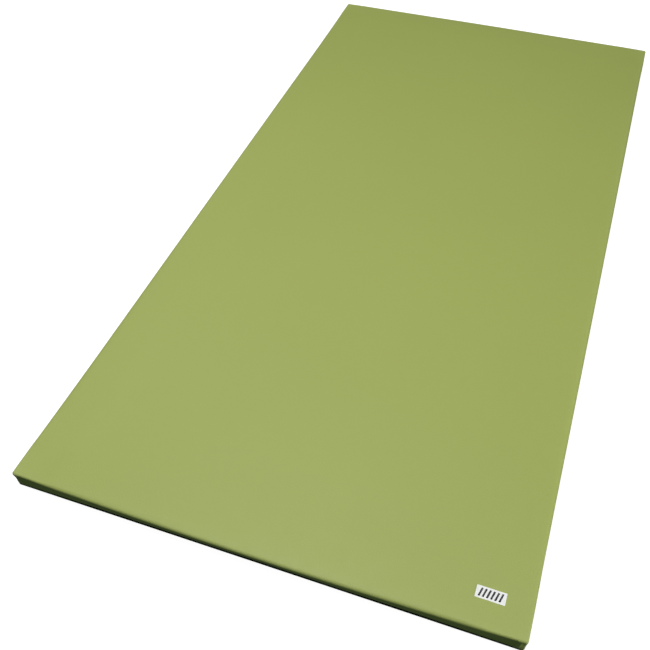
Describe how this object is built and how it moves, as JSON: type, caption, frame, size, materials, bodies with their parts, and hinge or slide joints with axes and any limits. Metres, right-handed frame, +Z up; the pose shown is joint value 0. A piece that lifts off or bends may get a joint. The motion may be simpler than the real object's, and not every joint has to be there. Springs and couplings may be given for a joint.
{
  "type": "martial arts floor mat",
  "caption": "Flat rectangular foam floor mat wrapped in smooth vinyl, with crisp square corners, an anti-slip base and a small corner label, for judo, grappling and floor exercise.",
  "frame": {"origin": "centre of the mat's underside, on the floor", "axes": "+Z up, +Y along the 2 m length away from the end with the label, +X across the 1 m width towards the side with the label"},
  "size_m": [1, 2, 0.0405],
  "materials": {
    "foam": "rebonded polyurethane foam crumb, open and matte",
    "vinyl": "satin vinyl with a fine grain",
    "base_rubber": "anti-slip rubber sheet with a small waffle relief",
    "guard_sheet": "plain reinforcing vinyl, hidden",
    "label_white": "smooth welded vinyl label",
    "label_ink": "printed ink"
  },
  "bodies": {
    "root": {"foam_core": "foam", "cover": "vinyl", "base": "base_rubber", "corner_guard_front_left": "guard_sheet", "corner_guard_front_right": "guard_sheet", "corner_guard_rear_left": "guard_sheet", "corner_guard_rear_right": "guard_sheet", "label_patch": "label_white", "label_mark": "label_ink"}
  },
  "joints": []
}
